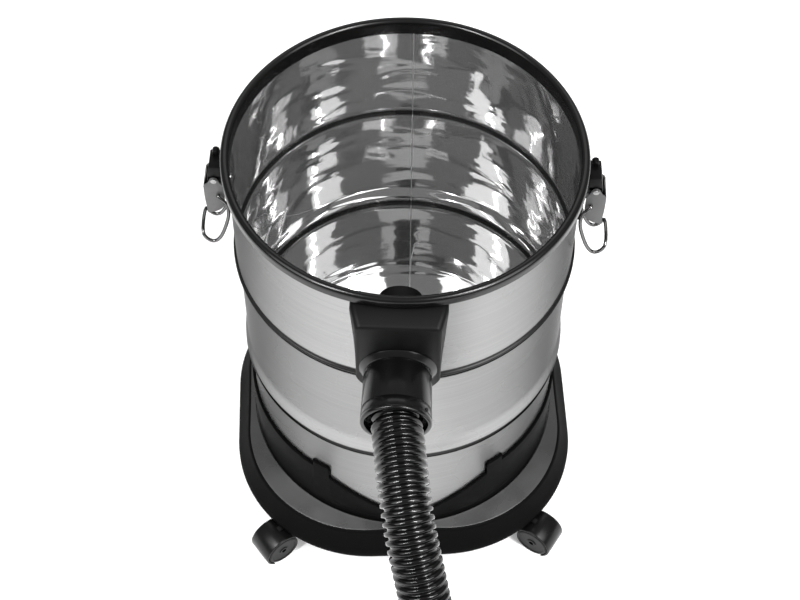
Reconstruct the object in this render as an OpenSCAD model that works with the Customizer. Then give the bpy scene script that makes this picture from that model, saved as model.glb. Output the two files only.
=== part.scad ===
// Shop vacuum: open stainless tank on a castered dolly, with its inlet, hose and two head latches.
// Frame: Z up, origin on the floor under the tank axis, the hose inlet faces -Y.

/* [Tank] */
// Outside diameter of the steel tank
tank_d = 348; // [320:1:380]
// Height of the steel tank wall
tank_h = 431; // [410:1:480]
// Thickness of the tank sheet
sheet = 1; // [0.8:0.1:1.5]
// How far the tank stands in between its two rolled steps
waist_in = 2.5; // [1:0.5:4]
// How far the tank stands in below its lower step
foot_in = 5; // [3:0.5:6]
// How far the upper step's bead stands out
bead_up = 2.5; // [1:0.5:3]
// How far the lower step's bead stands out
bead_down = 0.5; // [0:0.5:2]
// Height of each step's flank
flank_h = 12; // [8:1:16]
// Height of the upper bead's rounded top
bead_top = 4; // [3:0.5:5]
// Height of the flare above the lower step
flare_h = 30; // [16:1:40]
// Height of the lower step above the tank edge
groove_low = 134; // [120:1:160]
// Distance between the two steps
groove_gap = 157; // [120:1:160]
// Height of the bottom pan above the tank edge
pan_up = 5; // [3:1:10]
// Height of the pan's turned-up lip
pan_lip = 8; // [6:1:14]

/* [Rim] */
// How far the rim ring stands out from the tank
rim_out = 6; // [4:0.5:8]
// How far the rim ring stands in from the tank's inner face
rim_in = 1.7; // [1.2:0.1:4]
// Height of the rim's outer face
rim_drop = 11; // [9:0.5:14]
// Height of the rim's inner face
rim_skirt = 18; // [14:0.5:24]
// Height of the rim above the tank's edge
rim_over = 4; // [3:0.5:6]
// Height of the rim's rounded crest
rim_crest = 4.4; // [3:0.2:6]

/* [Inlet] */
// Depth of the inlet's axis below the rim's top
inlet_drop = 90; // [84:1:100]
// Angle at which the inlet points down
inlet_tilt = 3; // [0:0.5:6]
// Width of the inlet housing at the tank
housing_w = 92; // [84:1:100]
// Width of the inlet housing at its face
housing_face_w = 80; // [78:1:84]
// Length of the inlet housing out from the tank
housing_l = 22; // [18:1:28]
// Height of the housing's top above the inlet's axis
housing_up = 76; // [66:1:78]
// Drop of the housing's sloping top
housing_slope = 7; // [3:1:12]
// How much narrower the housing's rounded bottom is, at each side
housing_in = 3; // [1:0.5:6]
// Thickness of the gasket between tank and housing
gasket_t = 2; // [1:0.5:3]
// Bore through the tank wall and the housing
inlet_bore = 48; // [42:1:50]
// Length of the spout out from the housing
spout_l = 44; // [36:1:60]
// Outside diameter of the spout at the housing
spout_d1 = 64.4; // [62:0.2:66]
// Outside diameter of the spout at its end
spout_d2 = 66.4; // [64:0.2:68]
// Bore of the spout
spout_bore = 58; // [56:0.5:59]
// Depth of the spout's bore
spout_bore_l = 36; // [24:1:36]

/* [Elbow] */
// Outside diameter of the inner elbow
elbow_d = 42; // [38:1:44]
// Wall of the inner elbow
elbow_wall = 3; // [2:0.5:4]
// Distance of the elbow's outlet from the tank wall
elbow_reach = 52; // [46:1:60]
// Length of the elbow's outlet below its axis
elbow_out = 40; // [32:1:60]
// Diameter of the elbow's flange
flange_d = 72; // [68:1:76]
// Thickness of the elbow's flange
flange_t = 3; // [2:0.5:4]
// Diameter of the inlet screws
inlet_screw_d = 4; // [3:0.5:5]
// Distance of the inlet screws from the axis
inlet_screw_r = 30; // [29:0.5:31]

/* [Hose] */
// Outside diameter of the hose
hose_d = 49; // [44:0.5:49]
// Clearance between the hose and its cuff
hose_fit = 0.2; // [0.1:0.05:0.4]
// Outside diameter of the hose cuff's collar
collar_d = 67.6; // [67:0.2:70]
// Length of the hose cuff's collar
collar_l = 14; // [10:1:20]
// Thickness of the collar's floor
collar_floor = 3; // [2:0.5:5]
// Width of the collar's wall
collar_wall = 4.3; // [3:0.1:5]
// Diameter of the collar's catch button
catch_d = 4; // [3:0.5:6]
// Height of the catch button above the collar
catch_up = 0.6; // [0.4:0.1:1.2]
// Angle of the catch button from the top
catch_at = 57; // [0:1:90]
// Outside diameter of the hose's end fitting
end_d = 52; // [50:0.5:56]
// Bore of the hose's end fitting
end_bore = 38; // [34:0.5:42]
// Length of the hose's end fitting
end_l = 72; // [50:1:100]
// Depth of the end fitting's socket
end_bore_l = 60; // [40:1:64]

/* [Latches] */
// Depth of the lever's hinge below the rim's top
hinge_drop = 40; // [36:1:46]
// Distance of the lever's hinge from the tank
hinge_off = 14.5; // [13:0.5:17]
// Diameter of the hinge pin
hinge_pin_d = 4; // [3:0.5:5]
// Diameter of the base's knuckle
knuckle_d = 11; // [9:0.5:12]
// Running clearance of the pins in their bores
pin_fit = 0.05; // [0.03:0.01:0.1]
// Depth of the bail's pivot below the rim's top
pivot_drop = 61.5; // [58:0.5:66]
// Distance of the bail's pivot from the tank
pivot_off = 11.5; // [10:0.5:13]
// Width of the latch base
latch_w = 24; // [20:1:28]
// Thickness of the latch base's plate
latch_plate = 4; // [3:0.5:5]
// Height of the latch base's plate
latch_plate_h = 52; // [46:1:58]
// Side gap between the base, the lever and the bail
side_gap = 0.3; // [0.25:0.05:0.5]
// Height of the base's block above the lever's hinge
block_h = 29; // [24:1:32]
// Distance of the block's lower front edge beyond the hinge
block_out = 6.5; // [5.5:0.5:7.5]
// Lean of the block's front face
block_lean = 4; // [1:0.5:6]
// Gap between the block and the rim
block_gap = 0.8; // [0.5:0.1:2]
// Diameter of the roll on the block's top
roll_d = 9; // [7:0.5:10]
// Thickness of the lever's sheet
lever_t = 1.5; // [1:0.1:2]
// Depth of the lever's channel
lever_deep = 20; // [19:0.5:21]
// Distance of the lever's back edge behind its hinge
lever_back = 9; // [8:0.5:9.5]
// Height of the lever below its hinge
lever_h = 51; // [48:1:54]
// Diameter of the bail's wire
wire_d = 3.4; // [2.6:0.1:4]
// Length of the bail below its pivot
bail_h = 73; // [68:1:78]
// Distance that the bail's end turns out
bail_out = 21; // [18:1:25]
// Side play between the lever's cheeks and the bail's legs
bail_play = 1.7; // [0.3:0.1:3]
// Diameter of the latch rivets
rivet_d = 4.8; // [4:0.2:5.4]
// Distance between the two rivets of a latch
rivet_gap = 24; // [20:1:28]

/* [Dolly] */
// Width of the dolly across its flats
dolly_w = 390; // [380:1:400]
// Corner radius of the dolly
dolly_corner = 155; // [150:1:165]
// Turn of the dolly under the tank
dolly_turn = 4; // [-10:1:10]
// Wall of the dolly
dolly_wall = 3; // [2.5:0.5:4]
// Clearance between the casters and the dolly
dolly_clear = 2.4; // [1.5:0.1:4]
// Height of the dolly's floor above its lower edge
dolly_floor_up = 42.6; // [40:0.2:50]
// Thickness of the dolly's floor
dolly_floor_t = 4; // [3:0.5:6]
// Depth of the deck below the tank's seat
deck_down = 9; // [6:1:12]
// Slope of the deck
deck_slope = 10; // [6:1:14]
// Height of the upright edge at the dolly's bottom
edge_h = 4.6; // [3:0.2:8]
// Height of the strip above that edge
strip_h = 6; // [4:0.5:8]
// How far the strip leans in
strip_in = 3; // [1:0.5:5]
// Lean of the lip between the strip and the deck
lip_lean = 23; // [10:1:30]
// Diameter of the opening in the dolly's floor
dolly_hole = 120; // [80:5:200]

/* [Cradle] */
// Gap between the tank and the cradle ring
cradle_gap = 0.3; // [0.3:0.1:0.6]
// Thickness of the cradle ring
cradle_t = 3; // [2.5:0.5:5]
// Height of the cradle ring above the tank's seat
cradle_h = 65; // [58:1:72]
// Height of the cradle's front dip above the tank's seat
dip_h = 16; // [12:1:24]
// Height of the dip's slope at the lugs above the tank's seat
dip_top = 54; // [46:1:56]
// Half width of the dip
dip_w = 87; // [80:1:100]
// Half width of the dip's level middle
dip_flat = 24; // [10:1:40]
// Width of each cradle lug
lug_w = 17; // [12:1:24]
// Height of each lug above the cradle ring
lug_up = 9; // [4:0.5:12]
// Width of the shadow gap round the cradle ring
shadow_w = 0.8; // [0.5:0.1:1.5]
// Depth of the shadow gap round the cradle ring
shadow_d = 1.5; // [1:0.5:2]

/* [Casters] */
// Distance of the casters from the centre, side to side
caster_x = 131; // [128:1:133]
// Distance of the casters from the centre, front to back
caster_y = 143; // [138:1:144]
// Offset of the wheels from the swivel axis
caster_trail = 26; // [25:0.5:28]
// Angle at which each caster stands out from the front or back
caster_turn = 55; // [40:1:60]
// Diameter of the wheels
wheel_d = 40; // [38:1:42]
// Width of each wheel
wheel_w = 13; // [11:0.5:14]
// Thickness of the web between the wheels
web_t = 6; // [5:0.5:8]
// Side gap of each wheel
wheel_gap = 0.6; // [0.4:0.1:1]
// Gap between the wheels and the hood
hood_gap = 1.2; // [0.8:0.1:2]
// Thickness of the hood
hood_t = 1.8; // [1.4:0.1:2.4]
// Diameter of the axle
axle_d = 6; // [5:0.5:8]
// Diameter of the swivel stem
stem_d = 10; // [8:0.5:11]
// Length of the stem above the caster's body
stem_up = 18; // [15:1:19]
// Diameter of the boss round the stem
boss_d = 20; // [18:0.5:21]
// Height of the boss round the stem
boss_h = 10; // [8:0.5:10]
// Gap between the boss and the dolly
stem_gap = 0.3; // [0.2:0.1:1]
// Angle to which the hood comes down below the axle on the trailing side
hood_low = 50; // [30:1:60]
// Angle to which the hood comes down above the axle on the stem's side
hood_back = 40; // [30:1:60]

/* [Hidden] */
$fn = 96;
eps = 1;

tank_r = tank_d / 2;
tank_in = tank_r - sheet;
foot_r = tank_r - foot_in;
hood_r = wheel_d / 2 + hood_gap + hood_t;
lip_z = wheel_d / 2 + hood_r + dolly_clear;
seat_z = lip_z + dolly_floor_up + dolly_floor_t;
top_z = seat_z + tank_h;
rim_z = top_z + rim_over;
inlet_z = rim_z - inlet_drop;
deck_z = seat_z - deck_down;
cradle_in = foot_r + cradle_gap;
cradle_r = cradle_in + cradle_t;
strip_z = lip_z + edge_h + strip_h;
lip_in = strip_in + (deck_z - strip_z) * tan(lip_lean);
hinge_z = rim_z - hinge_drop;
pivot_z = rim_z - pivot_drop;
cheek_y = latch_w / 2 + side_gap + lever_t;
leg_y = cheek_y + side_gap + bail_play + wire_d / 2;
wheel_r = wheel_d / 2;

// ---- tank ----
// Smooth rise from one radius and height to the next
function ease(r0, z0, r1, z1) = [for (i = [0:6]) [r0 + (r1 - r0) * (0.5 - 0.5 * cos(30 * i)), z0 + (z1 - z0) * i / 6]];
function wall_line(r) = let (low = seat_z + groove_low, high = low + groove_gap, f = flank_h / 2) concat(
  [[r - foot_in, seat_z]],
  ease(r - foot_in, low - f, r + bead_down, low + f),
  ease(r + bead_down, low + f + 1, r - waist_in, low + f + flare_h),
  ease(r - waist_in, high - f, r + bead_up, high + f),
  ease(r + bead_up, high + f + 1, r, high + f + 1 + bead_top),
  [[r, top_z]]);
function flip(list) = [for (i = [len(list) - 1:-1:0]) list[i]];

module at_inlet() {
  translate([0, -tank_r, inlet_z])
    rotate([inlet_tilt, 0, 0])
      children();
}

// A cylinder along the inlet's axis from a to b, measured out from the tank
module along_inlet(d, a, b, d2 = 0) {
  at_inlet()
    translate([0, -a, 0])
      rotate([90, 0, 0])
        cylinder(h = b - a, d1 = d, d2 = d2 == 0 ? d : d2);
}

module inlet_screw_holes(d, a, b) {
  for (k = [0:3])
    at_inlet()
      rotate([0, 45 + 90 * k, 0])
        translate([0, -a, inlet_screw_r])
          rotate([90, 0, 0])
            cylinder(h = b - a, d = d);
}

// Side 1 is the right latch and side -1 the left one
module at_side(side) {
  if (side > 0)
    translate([tank_r, 0, 0])
      children();
  else
    mirror([1, 0, 0])
      translate([tank_r, 0, 0])
        children();
}

module rivet_holes(d, a, b) {
  for (k = [-0.5, 0.5])
    translate([a, 0, pivot_z + k * rivet_gap])
      rotate([0, 90, 0])
        cylinder(h = b - a, d = d);
}

module tank_shell() {
  color("silver")
    difference() {
      rotate_extrude()
        polygon(concat(wall_line(tank_r), flip(wall_line(tank_in))));
      along_inlet(inlet_bore, -20, 20);
      inlet_screw_holes(inlet_screw_d, -20, 20);
      for (side = [-1, 1])
        at_side(side)
          rivet_holes(rivet_d, -10, 10);
    }
}

module tank_pan() {
  z = seat_z + pan_up;
  r = foot_r - sheet;
  color("silver")
    rotate_extrude()
      polygon([[0, z], [r, z], [r, z + pan_lip], [r - sheet, z + pan_lip], [r - sheet, z + sheet], [0, z + sheet]]);
}

module rim_ring() {
  ro = tank_r + rim_out;
  ri = tank_in - rim_in;
  mid = (ro + ri) / 2;
  half = (ro - ri) / 2;
  color("#1c1c1c")
    rotate_extrude()
      polygon(concat(
        [for (i = [0:10]) [mid + half * cos(18 * i), rim_z - rim_crest + rim_crest * sin(18 * i)]],
        [[ri, rim_z - rim_skirt], [tank_in, rim_z - rim_skirt], [tank_in, top_z], [tank_r, top_z],
          [tank_r, rim_z - rim_drop], [ro, rim_z - rim_drop]]));
}

// ---- inlet ----
module housing_outline(grow) {
  w = housing_w / 2 - grow;
  r = w - housing_in;
  a = acos(r / w);
  translate([0, -tank_r / 2, inlet_z])
    rotate([90, 0, 0])
      linear_extrude(height = tank_r / 2 + housing_l + gasket_t)
        polygon(concat([[w, 0], [w, housing_up - grow], [-w, housing_up - grow], [-w, 0]],
          [for (k = [0:24]) let (t = 180 + a + (180 - 2 * a) * k / 24) [r * cos(t), r * sin(t)]]));
}

module inlet_gasket() {
  color("#141414")
    difference() {
      intersection() {
        translate([0, 0, inlet_z - housing_w])
          difference() {
            cylinder(r = tank_r + gasket_t, h = 2 * housing_w);
            translate([0, 0, -eps])
              cylinder(r = tank_r, h = 2 * housing_w + 2 * eps);
          }
        housing_outline(1);
      }
      along_inlet(inlet_bore, -housing_w / 2, housing_w / 2);
      inlet_screw_holes(inlet_screw_d, -housing_w / 4, housing_w / 4);
    }
}

module inlet_housing() {
  out = tank_r + housing_l;
  color("#1c1c1c")
    difference() {
      union() {
        intersection() {
          housing_outline(0);
          linear_extrude(height = rim_z)
            polygon([[-housing_w / 2, 0], [housing_w / 2, 0], [housing_w / 2, -tank_r - 2],
              [housing_face_w / 2, -out], [-housing_face_w / 2, -out], [-housing_w / 2, -tank_r - 2]]);
          rotate([0, -90, 0])
            linear_extrude(height = housing_w + 2, center = true)
              polygon([[0, 0], [inlet_z + housing_up, 0], [inlet_z + housing_up, -tank_r],
                [inlet_z + housing_up - housing_slope, -out - eps], [0, -out - eps]]);
        }
        along_inlet(spout_d1, housing_l - 6, housing_l + spout_l, spout_d2);
      }
      cylinder(r = tank_r + gasket_t, h = rim_z);
      along_inlet(inlet_bore, -20, housing_l + spout_l - spout_bore_l + eps);
      along_inlet(spout_bore, housing_l + spout_l - spout_bore_l, housing_l + spout_l + eps);
      inlet_screw_holes(inlet_screw_d, -20, housing_l - 6);
    }
}

// The elbow's round bore or body, r being its radius
module elbow_run(r, low) {
  along_inlet(2 * r, -elbow_reach, 0);
  at_inlet()
    translate([0, elbow_reach, 0])
      sphere(r = r + 0.02);
  at_inlet()
    translate([0, elbow_reach, -elbow_out - low])
      cylinder(r = r, h = elbow_out + low);
}

module inlet_elbow() {
  ri = elbow_d / 2 - elbow_wall;
  color("#161616")
    difference() {
      union() {
        intersection() {
          along_inlet(flange_d, -20, 0);
          difference() {
            cylinder(r = tank_in, h = rim_z);
            translate([0, 0, -eps])
              cylinder(r = tank_in - flange_t, h = rim_z + 2 * eps);
          }
        }
        along_inlet(inlet_bore, -flange_t - 3, gasket_t + 8);
        elbow_run(elbow_d / 2, 0);
      }
      elbow_run(ri, eps);
      along_inlet(2 * ri, -5, gasket_t + 8 + eps);
      inlet_screw_holes(inlet_screw_d, -20, 20);
    }
}

module inlet_screws() {
  color("silver")
    for (k = [0:3])
      at_inlet()
        rotate([0, 45 + 90 * k, 0])
          translate([0, 0, inlet_screw_r])
            rotate([90, 0, 0]) {
              translate([0, 0, -flange_t - sheet - 6])
                cylinder(h = flange_t + sheet + 6 + housing_l - 10, d = inlet_screw_d);
              translate([0, 0, -flange_t - sheet - 8])
                cylinder(h = 2.5, d = 1.8 * inlet_screw_d);
            }
}

// ---- hose ----
module hose_cuff() {
  s = housing_l + spout_l;
  color("#1a1a1a")
    difference() {
      union() {
        along_inlet(spout_bore, s - spout_bore_l, s + collar_floor);
        along_inlet(collar_d, s, s + collar_l);
      }
      along_inlet(hose_d + 2 * hose_fit, s - spout_bore_l - eps, s + collar_l + eps);
      along_inlet(collar_d - 2 * collar_wall, s + collar_floor, s + collar_l + eps);
      at_inlet()
        rotate([0, catch_at, 0])
          translate([0, -s - collar_l / 2, collar_d / 2 - collar_wall / 2])
            cylinder(h = collar_wall, d = catch_d);
    }
}

module hose_catch() {
  s = housing_l + spout_l + collar_l / 2;
  color("#0f0f0f")
    at_inlet()
      rotate([0, catch_at, 0])
        translate([0, -s, collar_d / 2 - collar_wall / 2])
          cylinder(h = collar_wall / 2 + catch_up, d = catch_d);
}

// Route of the hose's centreline, from inside the cuff down to the floor
hose_drop = [[0, -212, 435], [0.5, -250, 433], [4, -276, 430.5], [10, -318, 421], [18, -354, 400],
  [28, -384, 370], [38, -410, 333], [50, -435, 288], [64, -457, 238], [82, -475, 187],
  [106, -489, 137], [138, -499, 92], [178, -506, 55], [225, -510, 33], [275, -510, 25]];
// The hose then lies in one open loop on the floor
loop_r = 205;
loop_turn = 222;
hose_end_z = max(hose_d, end_d) / 2;
hose_loop = [for (a = [24:18:loop_turn]) [275 + loop_r * sin(a), -510 - loop_r + loop_r * cos(a), hose_end_z]];
hose_path = concat(hose_drop, hose_loop);

function unit(v) = v / norm(v);
function heading(p, i) = unit(p[min(i + 1, len(p) - 1)] - p[max(i - 1, 0)]);
function ring(c, t, r, n) =
  let (a = unit(cross(t, [0, 0, 1])), b = cross(a, t))
  [for (k = [0:n - 1]) c + r * (cos(360 * k / n) * a + sin(360 * k / n) * b)];

module tube(p, r, n) {
  m = len(p);
  pts = [for (i = [0:m - 1]) each ring(p[i], heading(p, i), r, n)];
  sides = [for (i = [0:m - 2]) for (k = [0:n - 1]) let (j = (k + 1) % n)
    [i * n + k, i * n + j, (i + 1) * n + j, (i + 1) * n + k]];
  ends = [[for (k = [n - 1:-1:0]) k], [for (k = [0:n - 1]) (m - 1) * n + k]];
  polyhedron(points = pts, faces = concat(sides, ends));
}

module hose_tube() {
  color("#111111")
    tube(hose_path, hose_d / 2, 12);
}

module hose_end() {
  p = hose_path[len(hose_path) - 1];
  t = heading(hose_path, len(hose_path) - 1);
  color("#1a1a1a")
    translate(p)
      rotate([0, 0, atan2(t[1], t[0])])
        rotate([0, 90, 0])
          difference() {
            cylinder(h = end_l, d = end_d);
            translate([0, 0, end_l - end_bore_l])
              cylinder(h = end_bore_l + eps, d = end_bore);
          }
}

// ---- latches ----
module cross_pin(x, z, d, w) {
  translate([x, w / 2, z])
    rotate([90, 0, 0])
      cylinder(h = w, d = d);
}

module latch_rivets() {
  color("silver")
    for (side = [-1, 1])
      at_side(side) {
        rivet_holes(rivet_d, -sheet - 0.6, latch_plate + 1);
        rivet_holes(1.7 * rivet_d, -sheet - 2, -sheet - 0.1);
        rivet_holes(1.7 * rivet_d, latch_plate, latch_plate + 1.2);
      }
}

module latch_base(side) {
  color("#171717")
    difference() {
      at_side(side)
        difference() {
          union() {
            translate([-4, -latch_w / 2, pivot_z - latch_plate_h / 2])
              cube([latch_plate + 4, latch_w, latch_plate_h]);
            translate([-4, -latch_w / 2, hinge_z - knuckle_d / 2])
              cube([hinge_off + 4, latch_w, knuckle_d]);
            cross_pin(hinge_off, hinge_z, knuckle_d, latch_w);
            translate([0, latch_w / 2, 0])
              rotate([90, 0, 0])
                linear_extrude(height = latch_w)
                  polygon([[rim_out + block_gap, hinge_z], [hinge_off + block_out, hinge_z - 3],
                    [hinge_off + block_out, hinge_z + 3], [hinge_off + block_out - block_lean, hinge_z + block_h],
                    [rim_out + block_gap, hinge_z + block_h]]);
            cross_pin(rim_out + block_gap + roll_d / 2 + 0.5, hinge_z + block_h + 3.5, roll_d, 0.6 * latch_w);
          }
          cross_pin(hinge_off, hinge_z, hinge_pin_d, latch_w + 2);
          rivet_holes(rivet_d, -10, latch_plate + 2);
        }
      cylinder(r = tank_r, h = rim_z);
    }
}

module latch_pin(side) {
  color("silver")
    at_side(side)
      cross_pin(hinge_off, hinge_z, hinge_pin_d, 2 * cheek_y);
}

// Side view of the lever, X out from the tank and Y up
module lever_outline() {
  x = hinge_off;
  z = hinge_z;
  b = x - lever_back;
  f = b + lever_deep;
  e = z - lever_h;
  polygon([[b, z - 8], [x - 5.5, z - 3.5], [x - 4.5, z], [x - 3.2, z + 3.2], [x, z + 4.5], [x + 3.2, z + 3.2],
    [x + 4.5, z], [x + 6, z - 4], [f - 1.5, z - 6.5], [f, z - 9], [f, z - 28], [f - 1, e + 8], [f - 1.5, e],
    [x + 2.5, e + 1.5], [b + 4, e + 7], [b + 1, e + 12], [b, e + 20]]);
}

// Section of the channel's closed front, in the same view
module lever_web() {
  z = hinge_z;
  f = hinge_off - lever_back + lever_deep;
  e = z - lever_h;
  t = lever_t;
  polygon([[f, z - 9], [f, z - 28], [f - 1, e + 8], [f - 1.5, e], [f - 1.5 - t, e + 0.3], [f - 1 - t, e + 8],
    [f - t, z - 28], [f - t, z - 9]]);
}

module latch_lever(side) {
  color("#8f8f8f")
    at_side(side)
      difference() {
        union() {
          for (s = [-1, 1])
            translate([0, s > 0 ? cheek_y : -cheek_y + lever_t, 0])
              rotate([90, 0, 0])
                linear_extrude(height = lever_t)
                  lever_outline();
          translate([0, cheek_y, 0])
            rotate([90, 0, 0])
              linear_extrude(height = 2 * cheek_y)
                lever_web();
        }
        cross_pin(hinge_off, hinge_z, hinge_pin_d + 2 * pin_fit, 2 * cheek_y + 2);
        cross_pin(pivot_off, pivot_z, wire_d + 2 * pin_fit, 2 * cheek_y + 2);
      }
}

module rod(a, b, d) {
  v = b - a;
  translate(a)
    rotate([0, acos(v[2] / norm(v)), atan2(v[1], v[0])])
      cylinder(h = norm(v), d = d);
}

module latch_bail(side) {
  x = pivot_off;
  z = pivot_z;
  y = leg_y;
  o = bail_out;
  h = bail_h;
  half = [[x, cheek_y - lever_t - 1, z], [x, y, z], [x - 8, y, z - 8.5], [x - 9.5, y, z - 26],
    [x - 0.17 * o, y, z - 0.67 * h], [x + 0.12 * o, y, z - 0.9 * h], [x + 0.45 * o, y, z - h],
    [x + 0.79 * o, y, z - 0.94 * h], [x + o, y, z - 0.78 * h]];
  color("#d8d8d8")
    at_side(side) {
      for (s = [-1, 1]) {
        pts = [for (p = half) [p[0], s * p[1], p[2]]];
        for (i = [0:len(pts) - 2]) {
          rod(pts[i], pts[i + 1], wire_d);
          translate(pts[i + 1])
            sphere(d = wire_d + 0.06, $fn = 32);
        }
      }
      rod([x + o, -y, z - 0.78 * h], [x + o, y, z - 0.78 * h], wire_d);
    }
}

// ---- dolly ----
module dolly_outline(grow) {
  half = dolly_w / 2 + grow;
  r = dolly_corner + grow;
  union() {
    square([2 * half, 2 * (half - r)], center = true);
    square([2 * (half - r), 2 * half], center = true);
    for (x = [-1, 1])
      for (y = [-1, 1])
        translate([x * (half - r), y * (half - r)])
          circle(r = r, $fn = 180);
  }
}

module prism(grow, z0, z1) {
  translate([0, 0, z0])
    linear_extrude(height = z1 - z0)
      dolly_outline(grow);
}

// A rounded square whose outline goes from grow g0 at z0 to g1 at z1
module taper(g0, z0, g1, z1) {
  half = dolly_w / 2;
  c = half - dolly_corner;
  for (x = [-c, c])
    for (y = [-c, c])
      translate([x, y, z0])
        cylinder(h = z1 - z0, r1 = dolly_corner + g0, r2 = dolly_corner + g1);
  for (a = [0, 90])
    rotate([90, 0, a])
      linear_extrude(height = 2 * c, center = true)
        polygon([[-half - g0, z0], [half + g0, z0], [half + g1, z1], [-half - g1, z1]]);
}

// The dolly's outer form, or the same form d inside its skin
module dolly_form(d) {
  h = deck_z - lip_z;
  intersection() {
    union() {
      prism(-d, lip_z, lip_z + edge_h);
      taper(-d, lip_z + edge_h, -d - strip_in, strip_z);
      taper(-d - strip_in, strip_z, -d - lip_in, deck_z);
    }
    translate([0, 0, lip_z - d])
      cylinder(h = h, r1 = cradle_r + h / tan(deck_slope), r2 = cradle_r);
  }
}

module dolly_body() {
  color("#1b1b1b")
    rotate([0, 0, dolly_turn])
      difference() {
        union() {
          difference() {
            dolly_form(0);
            difference() {
              dolly_form(dolly_wall);
              for (x = [-1, 1])
                for (y = [-1, 1])
                  translate([x * caster_x, y * caster_y, lip_z + 2])
                    cylinder(d = boss_d, h = deck_z);
            }
            prism(-dolly_wall, lip_z - eps, lip_z + 2);
            translate([0, 0, lip_z])
              cylinder(r = cradle_r - dolly_wall, h = deck_z);
          }
          translate([0, 0, deck_z - dolly_wall])
            difference() {
              cylinder(r = cradle_r, h = seat_z - deck_z + dolly_wall);
              translate([0, 0, -eps])
                cylinder(r = cradle_r - dolly_wall, h = seat_z - deck_z + dolly_wall + eps - dolly_floor_t);
              translate([0, 0, -eps])
                cylinder(d = dolly_hole, h = deck_z);
            }
        }
        translate([0, 0, deck_z - shadow_d])
          difference() {
            cylinder(r = cradle_r + shadow_w, h = 2 * shadow_d);
            translate([0, 0, -eps])
              cylinder(r = cradle_r, h = 2 * shadow_d + 2 * eps);
          }
        for (x = [-1, 1])
          for (y = [-1, 1])
            translate([x * caster_x, y * caster_y, lip_z - eps])
              cylinder(d = stem_d + 2 * pin_fit, h = stem_up + 2 + eps);
      }
}

// ---- cradle ----
module dip(side) {
  rotate([0, 0, side > 0 ? 0 : 180])
    translate([0, -cradle_r / 2, seat_z])
      rotate([90, 0, 0])
        linear_extrude(height = cradle_r)
          polygon([[-dip_w, cradle_h + lug_up + 10], [-dip_w, dip_top], [-dip_flat, dip_h], [dip_flat, dip_h],
            [dip_w, dip_top], [dip_w, cradle_h + lug_up + 10]]);
}

module cradle_ring() {
  color("#161616")
    rotate([0, 0, dolly_turn])
      translate([0, 0, seat_z])
        difference() {
          cylinder(r = cradle_r, h = cradle_h + lug_up);
          translate([0, 0, -eps])
            cylinder(r = cradle_in, h = cradle_h + lug_up + 2 * eps);
          for (side = [-1, 1]) {
            translate([side > 0 ? dip_w + lug_w : -dip_w - lug_w - cradle_r, -cradle_r - eps, cradle_h])
              cube([cradle_r, 2 * cradle_r + 2 * eps, lug_up + eps]);
            translate([0, 0, -seat_z])
              dip(side);
          }
        }
}

// ---- casters ----
// fx and fy give the caster's corner: X stands for the wheels' side, the stem is at the origin
module at_caster(fx, fy) {
  a = atan2(fy * cos(caster_turn), fx * sin(caster_turn));
  rotate([0, 0, dolly_turn])
    translate([fx * caster_x, fy * caster_y, 0])
      rotate([0, 0, a])
        children();
}

module wheel_axis(d, y0, y1) {
  translate([caster_trail, y1, wheel_r])
    rotate([90, 0, 0])
      cylinder(h = y1 - y0, d = d);
}

body_w = 2 * wheel_w + web_t + 2 * wheel_gap;

// Side view of the hood, its wheel axis at the origin and the trailing side at +X
module hood_outline() {
  ro = hood_r;
  difference() {
    circle(r = ro);
    circle(r = wheel_r + hood_gap);
    polygon([[0, 0], [2 * ro * cos(hood_low), -2 * ro * sin(hood_low)], [0, -3 * ro], [-3 * ro, -3 * ro],
      [-3 * ro, 2 * ro * sin(hood_back)], [-2 * ro * cos(hood_back), 2 * ro * sin(hood_back)]]);
  }
}

module caster_body(fx, fy) {
  top = lip_z - stem_gap;
  color("#191919")
    at_caster(fx, fy)
      difference() {
        union() {
          translate([caster_trail, body_w / 2, wheel_r])
            rotate([90, 0, 0])
              linear_extrude(height = body_w)
                hood_outline();
          translate([caster_trail, web_t / 2, wheel_r])
            rotate([90, 0, 0])
              linear_extrude(height = web_t)
                union() {
                  circle(r = wheel_r - 6);
                  intersection() {
                    circle(r = hood_r - 0.5);
                    polygon([[0, 0], [wheel_r, 0], [wheel_r, 2 * wheel_r], [-2 * wheel_r, 2 * wheel_r], [-2 * wheel_r, 8]]);
                  }
                  polygon([[-caster_trail, top - boss_h - wheel_r], [-caster_trail, top - wheel_r],
                    [-caster_trail + boss_d, top - wheel_r - 2], [-caster_trail + boss_d, 0], [-4, -6], [-caster_trail + 6, 6]]);
                }
          translate([0, 0, top - boss_h])
            cylinder(d = boss_d, h = boss_h);
        }
        wheel_axis(axle_d, -body_w, body_w);
        translate([0, 0, top - boss_h + 2])
          cylinder(d = stem_d, h = boss_h);
      }
}

module caster_stem(fx, fy) {
  color("silver")
    at_caster(fx, fy)
      translate([0, 0, lip_z - stem_gap - boss_h + 2])
        cylinder(d = stem_d, h = stem_up + stem_gap + boss_h - 2);
}

module caster_axle(fx, fy) {
  color("silver")
    at_caster(fx, fy)
      wheel_axis(axle_d, -body_w / 2 + 2, body_w / 2 - 2);
}

// Wheel on the front face (s = -1) or on the other face (s = 1) of the web
module wheel(fx, fy, s) {
  a = s > 0 ? web_t / 2 + wheel_gap : -web_t / 2 - wheel_gap - wheel_w;
  color("#131313")
    at_caster(fx, fy)
      difference() {
        wheel_axis(wheel_d, a, a + wheel_w);
        wheel_axis(axle_d + 2 * pin_fit, s > 0 ? a - eps : a + 2, s > 0 ? a + wheel_w - 2 : a + wheel_w + eps);
      }
}

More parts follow.
